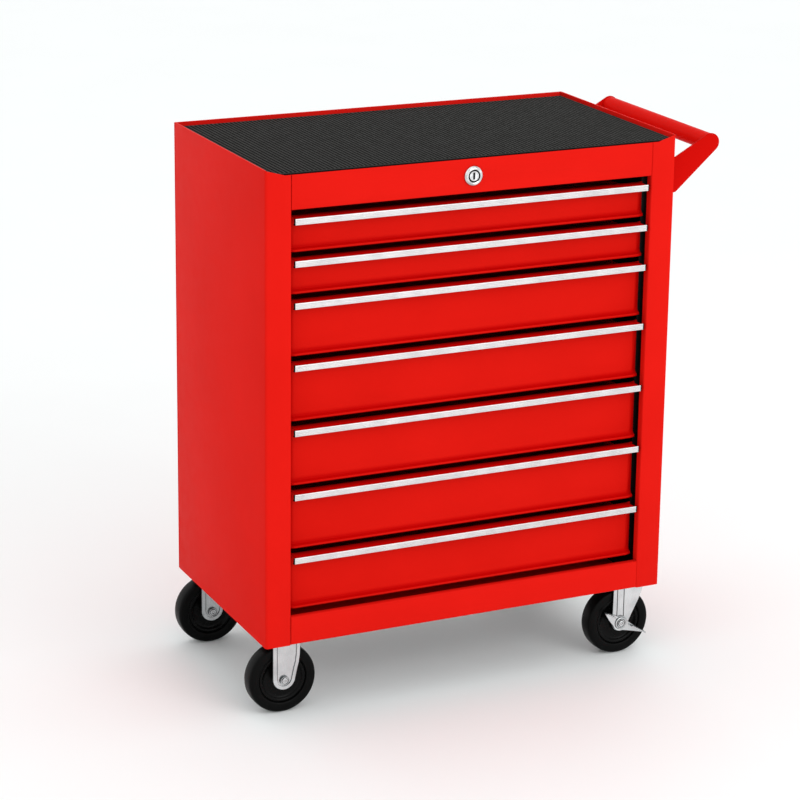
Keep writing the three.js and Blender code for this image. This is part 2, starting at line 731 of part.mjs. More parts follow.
function brakeLever() {
  const upper = LEVER_TIP + TREAD_SHEET;
  const outline = new THREE.Shape();
  outline.moveTo(LEVER_LEFT, LEVER_TIP);
  outline.quadraticCurveTo(-20, -5, -BULGE * Math.SQRT1_2, -BULGE * Math.SQRT1_2);
  outline.absarc(0, 0, BULGE, (5 * Math.PI) / 4, (7 * Math.PI) / 4, false);
  outline.quadraticCurveTo(24, -3.2, LEVER_RIGHT, LEVER_TIP - 0.6);
  outline.lineTo(LEVER_RIGHT, upper);
  outline.lineTo(UPPER_BULGE, upper);
  outline.absarc(0, 0, UPPER_BULGE, Math.PI / 4, (3 * Math.PI) / 4, false);
  outline.lineTo(-UPPER_BULGE, upper);
  const plate = extrude(outline, 'y', LEVER_BACK - LEVER_SHEET, LEVER_BACK, 6);
  const treads = TREADS.map(([from, to]) => box(
    [from, to],
    [LEVER_BACK - TREAD_DEPTH, LEVER_BACK - LEVER_SHEET / 2],
    [LEVER_TIP, upper],
  ));
  const hole = cylinderY(AXLE_RADIUS + GAP, [LEVER_BACK - 4, LEVER_BACK + 1], 16);
  const lever = join(plate, ...treads).subtract(solid(hole));
  return lever.rotate([0, -THREE.MathUtils.radToDeg(LEVER_TILT), 0]).translate([-TRAIL, 0, WHEEL_RADIUS]);
}

// ---- assembly ----
// The rigid casters' wheels reach furthest left and the handle furthest right.
const LEFT_REACH = CASTER_X + WHEEL_RADIUS;
const RIGHT_REACH = HALF_WIDTH + HANDLE_REACH;
const chest = new THREE.Group();
chest.position.x = (LEFT_REACH - RIGHT_REACH) / 2;

chest.add(
  mesh('side_panel_left', sidePanel(-1), 'red'),
  mesh('side_panel_right', sidePanel(1), 'red'),
  mesh('back_panel', backPanel(), 'red'),
  mesh('top_rail', topRail(), 'red'),
  mesh('base_pan', basePan(), 'red'),
  mesh('top_tray', topTray(), 'red'),
  mesh('top_mat', topMat(), 'mat'),
  mesh('slide_rack_left', slideRack(-1), 'zinc'),
  mesh('slide_rack_right', slideRack(1), 'zinc'),
);

DRAWERS.forEach((drawer, i) => {
  const name = `drawer_${i + 1}`;
  chest.add(
    mesh(`${name}_body`, drawerBody(drawer), 'red'),
    mesh(`${name}_pull`, drawerPull(drawer), 'aluminium'),
    mesh(`${name}_slide_left`, slideMember(-1, drawer), 'zinc'),
    mesh(`${name}_slide_right`, slideMember(1, drawer), 'zinc'),
  );
});

chest.add(
  mesh('lock_housing', lockHousing(), 'chrome'),
  mesh('lock_cylinder', lockCylinder(), 'chrome'),
  mesh('lock_rod', lockRod(), 'zinc'),
  mesh('lock_bar', lockBar(), 'zinc'),
  mesh('handle_bracket_front', handleBracket(-1), 'red'),
  mesh('handle_bracket_rear', handleBracket(1), 'red'),
  mesh('handle_grip', handleGrip(), 'red'),
);

function addRolling(caster, name, axleX, axleFront) {
  const rolling = new THREE.Group();
  rolling.position.set(axleX, 0, WHEEL_RADIUS);
  rolling.add(mesh(`${name}_wheel`, wheel(), 'tyre'), mesh(`${name}_axle`, axle(axleFront), 'zinc'));
  caster.add(rolling);
}

for (const [end, y] of [['front', FRONT_CASTER_Y], ['rear', REAR_CASTER_Y]]) {
  const rigid = new THREE.Group();
  rigid.position.set(-CASTER_X, y, 0);
  rigid.add(mesh(`rigid_${end}_fork`, rigidFork(), 'zinc'));
  addRolling(rigid, `rigid_${end}`, 0, -LEVER_BACK);

  const swivel = new THREE.Group();
  swivel.position.set(CASTER_X, y, 0);
  swivel.add(
    mesh(`swivel_${end}_plate`, swivelPlate(), 'zinc'),
    mesh(`swivel_${end}_fork`, swivelFork(), 'zinc'),
    mesh(`swivel_${end}_brake_lever`, brakeLever(), 'zinc'),
  );
  addRolling(swivel, `swivel_${end}`, -TRAIL, -LEVER_BACK + LEVER_SHEET + GAP);
  chest.add(rigid, swivel);
}

const toolChest = new THREE.Group();
toolChest.add(chest);

export default toolChest;
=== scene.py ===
"""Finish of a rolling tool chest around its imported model: painted sheet steel, grooved
aluminium pulls, a rubber mat, plated casters. Metres, +Z up, front towards -Y."""

import math

import bmesh
import bpy
from mathutils import Matrix, Vector


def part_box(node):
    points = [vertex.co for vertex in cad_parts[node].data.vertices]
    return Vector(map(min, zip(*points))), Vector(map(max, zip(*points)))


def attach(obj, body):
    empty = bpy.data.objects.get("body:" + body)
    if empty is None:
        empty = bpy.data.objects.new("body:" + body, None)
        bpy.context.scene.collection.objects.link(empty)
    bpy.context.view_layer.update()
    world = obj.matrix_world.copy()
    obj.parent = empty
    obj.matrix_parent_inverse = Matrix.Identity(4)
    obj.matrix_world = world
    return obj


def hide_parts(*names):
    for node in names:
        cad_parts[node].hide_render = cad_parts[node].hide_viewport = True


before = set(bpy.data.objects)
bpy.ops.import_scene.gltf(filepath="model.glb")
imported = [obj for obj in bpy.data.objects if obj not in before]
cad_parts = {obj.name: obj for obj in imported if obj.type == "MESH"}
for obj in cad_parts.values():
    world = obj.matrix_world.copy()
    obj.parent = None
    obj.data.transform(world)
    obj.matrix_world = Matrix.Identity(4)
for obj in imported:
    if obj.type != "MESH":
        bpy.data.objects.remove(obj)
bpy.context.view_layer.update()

MM = 0.001
ENDS = ("front", "rear")
SIDES = ("left", "right")
SOFT_EDGE = 0.3 * MM
THIN_EDGE = 0.15 * MM
LEG_EDGE = 0.35 * MM
SHARP_ANGLE = math.radians(38)
TOUCHING = 1e-6
SAME_CORNER = 0.005 * MM
RIB_PITCH = 5.8 * MM
RIB_HEIGHT = 1.6 * MM
EDGE_BAR = 2.4 * MM
BAR_ROUND = 0.4 * MM
DRAWER_COUNT = sum(name.endswith("_pull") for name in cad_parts)

# colours, as (light, deep) where two of them cloud the surface
RED = ((0.70, 0.0105, 0.0066), (0.66, 0.0095, 0.0058))
DRAWER_RED = ((0.655, 0.0090, 0.0052), (0.615, 0.0080, 0.0045))
# deeper red for drawer faces that turn away from front or back: painted shade on the bends
PAINTED_BEND_SHADE = (0.50, 0.0015, 0.0010)
# a darker copy of the cabinet red for the handle's arms: painted shade
HANDLE_SHADED_RED = ((0.56, 0.0040, 0.0024), (0.51, 0.0034, 0.0020))
UNDERSIDE_GREY = (0.16, 0.155, 0.155)
# near black for the plated slide racks: painted shade of the narrow gaps they sit in
RACK_SHADE_STEEL = ((0.026, 0.025, 0.025), (0.017, 0.0165, 0.0165))
ALUMINIUM = ((0.72, 0.70, 0.70), (0.62, 0.605, 0.61))
DULL_ZINC = ((0.20, 0.20, 0.205), (0.15, 0.152, 0.157))
BRIGHT_ZINC = ((0.68, 0.70, 0.71), (0.53, 0.55, 0.56))
# dull grey for caster faces that don't face front or back: painted shade
ZINC_SIDE_SHADE = (0.17, 0.175, 0.18)
CHROME = ((0.88, 0.88, 0.88), (0.42, 0.41, 0.42))
# black for pieces put where there is only shade: the pull ends, the keyway and the gap round the
# lock's plug
SHADE_FILL_BLACK = ((0.0030, 0.0030, 0.0030), (0.0018, 0.0018, 0.0018))
TYRE_BLACK = ((0.0022, 0.0022, 0.0022), (0.0012, 0.0012, 0.0012))
HUB_BLACK = ((0.0020, 0.0020, 0.0020), (0.0012, 0.0012, 0.0012))
# dark grey for the mat's rib crests, and near black in its grooves: painted shade
MAT_CREST_GREY = ((0.050, 0.050, 0.048), (0.038, 0.038, 0.036))
MAT_GROOVE_SHADE = (0.0045, 0.0045, 0.0043)
PALE_FLOOR = ((0.925, 0.95, 0.95), (0.915, 0.94, 0.94))

# how fine a noise is, and where the middle of its values lies
COAT_CLOUD = 9
COAT_SHEEN = 60
ORANGE_PEEL = 420
COAT_GRIT = 1900
METAL_CLOUD = 45
DRAW_LINES = 2600
METAL_WAVES = 300
LINE_STRETCH = 0.02
RUBBER_CLOUD = 70
RUBBER_SHEEN = 160
RUBBER_GRAIN = 2400
RUBBER_WAVES = 260
CHROME_CLOUD = 150
CHROME_SHEEN = 700
CHROME_WAVES = 500
NOISE_MIDDLE = (0.3, 0.7)

# how deep a surface's bumps are at most
COAT_BUMP = 0.15 * MM
METAL_BUMP = 0.1 * MM
RUBBER_BUMP = 0.2 * MM


# ---- material nodes ----
def noise(tree, scale, detail=2.0, stretch=(1, 1, 1)):
    """A noise value in the piece's own metres, finer as scale grows."""
    place = tree.nodes.new("ShaderNodeTexCoord")
    mapping = tree.nodes.new("ShaderNodeMapping")
    mapping.inputs["Scale"].default_value = stretch
    texture = tree.nodes.new("ShaderNodeTexNoise")
    texture.inputs["Scale"].default_value = scale
    texture.inputs["Detail"].default_value = detail
    tree.links.new(place.outputs["Object"], mapping.inputs["Vector"])
    tree.links.new(mapping.outputs["Vector"], texture.inputs["Vector"])
    return texture.outputs["Fac"]


def spread(tree, value, low, high):
    """The middle of a noise value's range, mapped to low and high."""
    node = tree.nodes.new("ShaderNodeMapRange")
    node.inputs["From Min"].default_value, node.inputs["From Max"].default_value = NOISE_MIDDLE
    node.inputs["To Min"].default_value = low
    node.inputs["To Max"].default_value = high
    tree.links.new(value, node.inputs["Value"])
    return node.outputs["Result"]


def blend(tree, value, first, second):
    """A colour between two, by a noise value."""
    node = tree.nodes.new("ShaderNodeMix")
    node.data_type = "RGBA"
    node.inputs["A"].default_value = (*first, 1)
    node.inputs["B"].default_value = (*second, 1)
    tree.links.new(spread(tree, value, 0, 1), node.inputs["Factor"])
    return node.outputs["Result"]


def bump(tree, shader, heights, distance):
    """Raises the surface by several (noise value, strength) pairs, one on the other."""
    before = None
    for height, strength in heights:
        node = tree.nodes.new("ShaderNodeBump")
        node.inputs["Strength"].default_value = strength
        node.inputs["Distance"].default_value = distance
        tree.links.new(height, node.inputs["Height"])
        if before is not None:
            tree.links.new(before, node.inputs["Normal"])
        before = node.outputs["Normal"]
    tree.links.new(before, shader.inputs["Normal"])


def new_material(name, metallic, specular):
    material = bpy.data.materials.new(name)
    material.use_nodes = True
    tree = material.node_tree
    shader = tree.nodes["Principled BSDF"]
    shader.inputs["Metallic"].default_value = metallic
    shader.inputs["Specular IOR Level"].default_value = specular
    return material, tree, shader


def facing(tree, axis, low, high, either_way=True):
    """0 to 1 as a surface's normal, along one of the piece's axes, goes from low to high."""
    place = tree.nodes.new("ShaderNodeTexCoord")
    axes = tree.nodes.new("ShaderNodeSeparateXYZ")
    share = tree.nodes.new("ShaderNodeMapRange")
    share.inputs["From Min"].default_value = low
    share.inputs["From Max"].default_value = high
    tree.links.new(place.outputs["Normal"], axes.inputs["Vector"])
    reach = axes.outputs[axis]
    if either_way:
        size = tree.nodes.new("ShaderNodeMath")
        size.operation = "ABSOLUTE"
        tree.links.new(reach, size.inputs[0])
        reach = size.outputs["Value"]
    tree.links.new(reach, share.inputs["Value"])
    return share.outputs["Result"]


def elsewhere(tree, colour, other, side):
    """A colour on the surfaces that face a side, and another on the rest."""
    mix = tree.nodes.new("ShaderNodeMix")
    mix.data_type = "RGBA"
    mix.inputs["A"].default_value = (*other, 1)
    tree.links.new(colour, mix.inputs["B"])
    tree.links.new(facing(tree, *side), mix.inputs["Factor"])
    return mix.outputs["Result"]


# ---- materials ----
def powder_coat(name, light, deep, other=None, side=None):
    """Gloss powder coat with a faint orange peel; surfaces that don't face side take the colour
    other.
    """
    material, tree, shader = new_material(name, 0.0, 0.008)
    colour = blend(tree, noise(tree, COAT_CLOUD, 3), light, deep)
    if side is not None:
        colour = elsewhere(tree, colour, other, side)
    tree.links.new(colour, shader.inputs["Base Color"])
    sheen = spread(tree, noise(tree, COAT_SHEEN, 4), 0.30, 0.38)
    tree.links.new(sheen, shader.inputs["Roughness"])
    peel = noise(tree, ORANGE_PEEL, 1)
    grit = noise(tree, COAT_GRIT, 2)
    bump(tree, shader, [(peel, 0.10), (grit, 0.04)], COAT_BUMP)
    return material


def drawn_metal(name, light, deep, roughness, along, grain=0.08, other=None, side=None):
    """Plated or anodised metal with fine draw lines along one axis."""
    material, tree, shader = new_material(name, 1.0, 0.5)
    colour = blend(tree, noise(tree, METAL_CLOUD, 4), light, deep)
    if side is not None:
        colour = elsewhere(tree, colour, other, side)
    tree.links.new(colour, shader.inputs["Base Color"])
    stretch = [1.0, 1.0, 1.0]
    stretch["xyz".index(along)] = LINE_STRETCH
    lines = noise(tree, DRAW_LINES, 3, stretch)
    tree.links.new(spread(tree, lines, *roughness), shader.inputs["Roughness"])
    bump(tree, shader, [(lines, grain), (noise(tree, METAL_WAVES, 2), 0.04)], METAL_BUMP)
    return material


def chrome():
    material, tree, shader = new_material("polished_chrome", 1.0, 0.5)
    colour = blend(tree, noise(tree, CHROME_CLOUD, 2), *CHROME)
    tree.links.new(colour, shader.inputs["Base Color"])
    sheen = spread(tree, noise(tree, CHROME_SHEEN, 3), 0.06, 0.14)
    tree.links.new(sheen, shader.inputs["Roughness"])
    bump(tree, shader, [(noise(tree, CHROME_WAVES, 2), 0.03)], METAL_BUMP)
    return material


def rubber_grain(tree, shader, roughness, fine, coarse):
    sheen = spread(tree, noise(tree, RUBBER_SHEEN, 3), *roughness)
    tree.links.new(sheen, shader.inputs["Roughness"])
    grain = (noise(tree, RUBBER_GRAIN, 3), fine)
    waves = (noise(tree, RUBBER_WAVES, 2), coarse)
    bump(tree, shader, [grain, waves], RUBBER_BUMP)


def rubber(name, light, deep, roughness, specular, fine, coarse):
    """Black rubber or moulded plastic with a fine matt grain."""
    material, tree, shader = new_material(name, 0.0, specular)
    colour = blend(tree, noise(tree, RUBBER_CLOUD, 5), light, deep)
    tree.links.new(colour, shader.inputs["Base Color"])
    rubber_grain(tree, shader, roughness, fine, coarse)
    return material


def ribbed_rubber():
    """Mat rubber, dark grey on the crests of its ribs and near black between them, the black a
    painted shade.
    """
    material, tree, shader = new_material("ribbed_mat", 0.0, 0.04)
    place = tree.nodes.new("ShaderNodeTexCoord")
    axes = tree.nodes.new("ShaderNodeSeparateXYZ")
    height = tree.nodes.new("ShaderNodeMapRange")
    mix = tree.nodes.new("ShaderNodeMix")
    mix.data_type = "RGBA"
    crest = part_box("top_mat")[1].z
    height.inputs["From Min"].default_value = crest - 0.8 * RIB_HEIGHT
    height.inputs["From Max"].default_value = crest - 0.2 * RIB_HEIGHT
    mix.inputs["A"].default_value = (*MAT_GROOVE_SHADE, 1)
    tree.links.new(place.outputs["Object"], axes.inputs["Vector"])
    tree.links.new(axes.outputs["Z"], height.inputs["Value"])
    tree.links.new(height.outputs["Result"], mix.inputs["Factor"])
    tree.links.new(blend(tree, noise(tree, RUBBER_CLOUD, 5), *MAT_CREST_GREY), mix.inputs["B"])
    tree.links.new(mix.outputs["Result"], shader.inputs["Base Color"])
    rubber_grain(tree, shader, (0.62, 0.80), 0.4, 0.1)
    return material


def pale_floor():
    material, tree, shader = new_material("pale_floor", 0.0, 0.2)
    tree.links.new(blend(tree, noise(tree, 3, 2), *PALE_FLOOR), shader.inputs["Base Color"])
    shader.inputs["Roughness"].default_value = 0.6
    return material


# each finish's material and the record's slot that it belongs to
FINISHES = {
    "paint": (powder_coat("red_powder_coat", *RED), "red_paint"),
    # On the drawers every face that turns away from front or back takes a deeper red: painted
    # shade. This covers the folded ends, the flared foot, the lip, the tub's sides and floor, and
    # the rim.
    "drawer": (
        powder_coat("drawer_powder_coat_bend_shade", *DRAWER_RED, PAINTED_BEND_SHADE, ("Y", 0.95, 0.995)),
        "drawer_paint",
    ),
    "pan": (
        powder_coat("base_powder_coat", *RED, UNDERSIDE_GREY, ("Z", -0.9, -0.5, False)),
        "red_paint",
    ),
    # The handle's arms take a darker copy of the cabinet red: painted shade.
    "handle": (powder_coat("handle_powder_coat_shaded", *HANDLE_SHADED_RED), "red_paint"),
    # The slide racks are plated steel coloured near black: painted shade of the gaps beside the
    # drawers.
    "rack": (drawn_metal("rack_steel_painted_shade", *RACK_SHADE_STEEL, (0.40, 0.55), "y"), "plated_steel"),
    # Black fill for the pull ends, the keyway and the gap round the lock's plug: painted shade.
    "plug": (rubber("black_shade_fill", *SHADE_FILL_BLACK, (0.45, 0.60), 0.05, 0.2, 0.1), None),
    "aluminium": (
        drawn_metal("anodised_aluminium", *ALUMINIUM, (0.24, 0.38), "x"),
        "pull_aluminium",
    ),
    "zinc": (drawn_metal("zinc_plate", *DULL_ZINC, (0.28, 0.42), "y"), "plated_steel"),
    # Caster faces that don't face front or back take a dull grey: painted shade. These are the
    # edges, the pressed grooves and creases, the plates, the race and the bolt heads.
    "caster": (
        drawn_metal(
            "bright_zinc_side_shade", *BRIGHT_ZINC, (0.20, 0.32), "z", 0.05, ZINC_SIDE_SHADE, ("Y", 0.72, 0.97)
        ),
        "caster_steel",
    ),
    "chrome": (chrome(), "lock_chrome"),
    "mat": (ribbed_rubber(), "mat_rubber"),
    "tyre": (rubber("wheel_rubber", *TYRE_BLACK, (0.30, 0.42), 0.07, 0.2, 0.1), "wheel_rubber"),
    "hub": (rubber("wheel_plastic", *HUB_BLACK, (0.22, 0.34), 0.09, 0.12, 0.06), "wheel_rubber"),
}


# ---- outlines: lists of (u, v) points ----
def arc(centre, radius, start, end, steps):
    """Points of an arc, its angles in degrees, with both ends."""
    angles = [math.radians(start + (end - start) * i / steps) for i in range(steps + 1)]
    return [(centre[0] + radius * math.cos(a), centre[1] + radius * math.sin(a)) for a in angles]


def rounded(corners, radius, steps=4):
    """A closed outline through corners, each rounded over the same reach."""
    points = []
    for i, corner in enumerate(corners):
        here = Vector(corner)
        before = Vector(corners[i - 1]) - here
        after = Vector(corners[(i + 1) % len(corners)]) - here
        start = here + before.normalized() * min(radius, before.length * 0.49)
        end = here + after.normalized() * min(radius, after.length * 0.49)
        for step in range(steps + 1):
            t = step / steps
            points.append(tuple(start * (1 - t) ** 2 + here * 2 * t * (1 - t) + end * t * t))
    return points


def inset(outline, distance):
    """An anticlockwise outline moved inwards."""
    moved = []
    for i, point in enumerate(outline):
        into = (Vector(point) - Vector(outline[i - 1])).normalized()
        out = (Vector(outline[(i + 1) % len(outline)]) - Vector(point)).normalized()
        left = Vector((-into.y, into.x))
        middle = (left + Vector((-out.y, out.x))).normalized()
        moved.append(tuple(Vector(point) + middle * distance / max(middle.dot(left), 0.5)))
    return moved


def polar(count, reach):
    """A closed outline of count points, at reach(angle) from the middle."""
    angles = [2 * math.pi * i / count for i in range(count)]
    return [(reach(a) * math.cos(a), reach(a) * math.sin(a)) for a in angles]


def circle(radius):
    return lambda angle: radius


def hexagon(across_flats):
    half = math.pi / 6
    return lambda angle: across_flats / 2 / math.cos(angle % (2 * half) - half)


def slot(half_width, half_height):
    def reach(angle):
        side = half_width / max(abs(math.cos(angle)), 1e-6)
        return min(side, half_height / max(abs(math.sin(angle)), 1e-6))
    return reach


# ---- meshes ----
def lifted(outline, axis, depth):
    """An outline as points in space: drawn in Y Z, X Z or X Y, at a depth along axis."""
    if axis == "x":
        return [(depth, u, v) for u, v in outline]
    if axis == "y":
        return [(u, depth, v) for u, v in outline]
    return [(u, v, depth) for u, v in outline]


def loft(loops, ring=False):
    """A closed mesh through loops of equally many points, capped at its ends unless a ring."""
    bm = bmesh.new()
    rings = [[bm.verts.new(point) for point in loop] for loop in loops]
    pairs = list(zip(rings, rings[1:]))
    if ring:
        pairs.append((rings[-1], rings[0]))
    count = len(rings[0])
    for near, far in pairs:
        for i in range(count):
            j = (i + 1) % count
            bm.faces.new((near[i], near[j], far[j], far[i]))
    if not ring:
        bm.faces.new(rings[0])
        bm.faces.new(rings[-1])
    bmesh.ops.recalc_face_normals(bm, faces=bm.faces[:])
    return bm


def prism(outline, axis, low, high, edge=SOFT_EDGE):
    """An outline extruded along axis, with both rims chamfered."""
    inner = inset(outline, edge)
    return loft([
        lifted(inner, axis, low),
        lifted(outline, axis, low + edge),
        lifted(outline, axis, high - edge),
        lifted(inner, axis, high),
    ])


def lathe(profile, segments=96, ring=False):
    """A solid turned about Y from (radius, y) pairs, or a ring when its profile is closed."""
    bm = bmesh.new()
    turns = [2 * math.pi * i / segments for i in range(segments)]
    rings = []
    for radius, y in profile:
        around = turns if radius > 0 else [0.0]
        rings.append([
            bm.verts.new((radius * math.cos(a), y, radius * math.sin(a))) for a in around
        ])
    pairs = list(zip(rings, rings[1:]))
    if ring:
        pairs.append((rings[-1], rings[0]))
    for near, far in pairs:
        for i in range(segments):
            j = (i + 1) % segments
            corners = [near[i % len(near)], near[j % len(near)]]
            corners += [far[j % len(far)], far[i % len(far)]]
            bm.faces.new(list(dict.fromkeys(corners)))
    bmesh.ops.recalc_face_normals(bm, faces=bm.faces[:])
    return bm


def both_faces(half_profile):
    """A closed ring profile from its half at negative y, which runs outwards."""
    return [*half_profile, *((radius, -y) for radius, y in reversed(half_profile))]


def merged(parts):
    """One mesh holding several closed shells."""
    whole = bmesh.new()
    for part in parts:
        scratch = bpy.data.meshes.new("scratch")
        part.to_mesh(scratch)
        part.free()
        whole.from_mesh(scratch)
        bpy.data.meshes.remove(scratch)
    return whole


def moved(bm, place, turn=0.0, about="Y"):
    """A mesh turned about an axis through its origin, in degrees, and moved to place."""
    bm.transform(Matrix.Translation(place) @ Matrix.Rotation(math.radians(turn), 4, about))
    return bm


def cad_copy(node):
    """A CAD node's own shape, its shared corners merged and its flat faces made whole."""
    bm = bmesh.new()
    bm.from_mesh(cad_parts[node].data)
    bmesh.ops.remove_doubles(bm, verts=bm.verts[:], dist=SAME_CORNER)
    bmesh.ops.dissolve_limit(
        bm, angle_limit=math.radians(0.5), verts=bm.verts[:], edges=bm.edges[:]
    )
    return bm


def soften(obj, width):
    """Rounds a piece's sharp edges and keeps its flat faces flat in shading."""
    rounding = obj.modifiers.new("edges", "BEVEL")
    rounding.width = width
    rounding.segments = 2
    rounding.limit_method = "ANGLE"
    rounding.angle_limit = SHARP_ANGLE
    rounding.harden_normals = True
    graph = bpy.context.evaluated_depsgraph_get()
    finished = bpy.data.meshes.new_from_object(obj.evaluated_get(graph), depsgraph=graph)
    obj.modifiers.clear()
    obj.data = finished
    finished.name = obj.name


def piece(name, bm, body, finish, stands_for=(), edge=0.0):
    """Adds a mesh as a piece that rides on a body, in one of the finishes."""
    material, slot_name = FINISHES[finish]
    mesh = bpy.data.meshes.new(name)
    bm.to_mesh(mesh)
    bm.free()
    mesh.materials.clear()
    mesh.materials.append(material)
    mesh.polygons.foreach_set("material_index", [0] * len(mesh.polygons))
    mesh.polygons.foreach_set("use_smooth", [True] * len(mesh.polygons))
    obj = bpy.data.objects.new(name, mesh)
    bpy.context.scene.collection.objects.link(obj)
    if edge > 0:
        soften(obj, edge)
    else:
        mesh.set_sharp_from_angle(angle=SHARP_ANGLE)
    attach(obj, body)
    if stands_for:
        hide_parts(*stands_for)


def middle(node):
    low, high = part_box(node)
    return (low + high) / 2


# ---- fasteners, standing up from z = 0 ----
HEAD_STEPS = 48


def washer(radius, height):
    return prism(polar(32, circle(radius)), "z", 0.0, height, THIN_EDGE)


def hex_head(across_flats, height, base=0.0):
    """A hexagon head or nut with its top corners chamfered round."""
    chamfer = across_flats * 0.07
    sides = polar(HEAD_STEPS, hexagon(across_flats))
    crown = polar(HEAD_STEPS, circle(across_flats / 2 - chamfer * 0.4))
    return loft([
        lifted(sides, "z", base),
        lifted(sides, "z", base + height - chamfer * 0.8),
        lifted(crown, "z", base + height),
    ])


def button_head(radius, height, socket):
    """A domed screw head with a hexagon socket."""
    steps = [(circle(radius), 0.0)]
    for angle in (0, 25, 50, 70):
        lean = math.radians(angle)
        reach = radius * (0.45 + 0.55 * math.cos(lean))
        steps.append((circle(reach), height * (0.25 + 0.75 * math.sin(lean))))
    steps.append((hexagon(socket), height))
    steps.append((hexagon(socket * 0.96), height * 0.35))
    return loft([lifted(polar(HEAD_STEPS, shape), "z", rise) for shape, rise in steps])


# ---- cabinet ----
def add_pressing(name, node, body, finish, edge=SOFT_EDGE):
    """A piece in a CAD node's own shape, its edges rounded."""
    piece(name, cad_copy(node), body, finish, [node], edge)


def add_cabinet():
    for side in SIDES:
        add_pressing(f"{side}_side", f"side_panel_{side}", "root", "paint")
        add_pressing(f"{side}_rack", f"slide_rack_{side}", "root", "rack", THIN_EDGE)
    for name in ("back_panel", "top_rail", "top_tray"):
        add_pressing(f"pressed_{name}", name, "root", "paint")
    add_pressing("pressed_base_pan", "base_pan", "root", "pan")


RIB_PROFILE = ((0.20, 0.0), (0.27, 0.7), (0.36, 1.0), (0.64, 1.0), (0.73, 0.7), (0.80, 0.0))


def add_mat():
    """A rubber mat whose ribs run from front to back, between a bar at each end."""
    low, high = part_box("top_mat")
    count = round((high.x - low.x) / RIB_PITCH)
    pitch = (high.x - low.x) / count
    valley = high.z - RIB_HEIGHT
    top = []
    for i in range(count):
        for share, rise in RIB_PROFILE:
            top.append((low.x + (i + share) * pitch, high.z - RIB_HEIGHT * (1 - rise)))
    outline = [(low.x, valley), (low.x, low.z), (high.x, low.z), (high.x, valley)]
    outline.extend(reversed(top))
    ends = (low.y + EDGE_BAR, high.y - EDGE_BAR)
    ribs = loft([lifted(outline, "y", y) for y in ends])
    # The end bars stand a third of a rib below the crests, so the painted groove shade makes them a
    # little darker.
    bar_top = high.z - RIB_HEIGHT / 3
    bar = rounded([(0, low.z), (EDGE_BAR, low.z), (EDGE_BAR, bar_top), (0, bar_top)], BAR_ROUND)
    bars = []
    for y in (low.y, high.y - EDGE_BAR):
        bars.append(moved(loft([lifted(bar, "x", x) for x in (low.x, high.x)]), (0, y, 0)))
    piece("ribbed_mat", merged([ribs, *bars]), "root", "mat", ["top_mat"])


# ---- drawers ----
PULL_EDGE = 0.12 * MM
PULL_WALL = 1.8 * MM
PULL_LIP = 1.2 * MM
PULL_NOSE = 0.7 * MM
PLUG_THICK = 1.4 * MM
PLUG_SHORT = 0.1 * MM
PLUG_ROUNDING = 0.3 * MM
PLUG_CHAMFER = 0.1 * MM
SEAM = 0.05 * MM
GROOVE_PLACES = (0.74, 0.5, 0.26)
GROOVE_DEPTH = 0.6 * MM
GROOVE_HALF = 0.42 * MM
GROOVE_FLOOR_HALF = 0.3 * GROOVE_HALF


def pull_section(low, high):
    """The pull's section in Y Z: a grooved web that hooks back under the drawer's lip."""
    front, back = low.y, high.y
    height = high.z - low.z
    points = [(front + PULL_NOSE, low.z), (back, low.z), (back, low.z + PULL_LIP)]
    points += [(front + PULL_WALL, low.z + PULL_LIP), (front + PULL_WALL, high.z)]
    points += arc((front + PULL_NOSE, high.z - PULL_NOSE), PULL_NOSE, 90, 180, 3)
    for share in GROOVE_PLACES:
        groove = low.z + height * share
        floor = front + GROOVE_DEPTH
        points += [
            (front, groove + GROOVE_HALF), (floor, groove + GROOVE_FLOOR_HALF),
            (floor, groove - GROOVE_FLOOR_HALF), (front, groove - GROOVE_HALF),
        ]
    points += arc((front + PULL_NOSE, low.z + PULL_NOSE), PULL_NOSE, 180, 255, 3)
    return points


def add_pull(number):
    """A pull cut off square, with a black plug at each end that stands in for the shade inside a
    hollow pull's open end: painted shade.
    """
    node = f"drawer_{number}_pull"
    low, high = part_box(node)
    section = pull_section(low, high)
    ends = [low.x + PLUG_THICK + SEAM, high.x - PLUG_THICK - SEAM]
    pull = loft([lifted(section, "x", x) for x in ends])
    piece(f"pull_{number}", pull, f"drawer_{number}", "aluminium", [node], PULL_EDGE)
    front, back = low.y + PLUG_SHORT, high.y - PLUG_SHORT
    bottom, top = low.z + PLUG_SHORT, high.z - PLUG_SHORT
    web, lip = low.y + PULL_WALL, low.z + PULL_LIP
    corners = [(front, bottom), (back, bottom), (back, lip), (web, lip), (web, top), (front, top)]
    outline = rounded(corners, PLUG_ROUNDING, 2)
    plugs = [
        prism(outline, "x", low.x, low.x + PLUG_THICK, PLUG_CHAMFER),
        prism(outline, "x", high.x - PLUG_THICK, high.x, PLUG_CHAMFER),
    ]
    piece(f"pull_end_shade_{number}", merged(plugs), f"drawer_{number}", "plug", [node])


RIM_HEIGHT = 7 * MM
RIM_THICK = 2.2 * MM
RIM_ROUNDING = 0.9 * MM
RIM_BELOW_PULL = 10 * MM
RIM_BEFORE_SLIDE = 3 * MM
SLIDE_GAP = 0.3 * MM


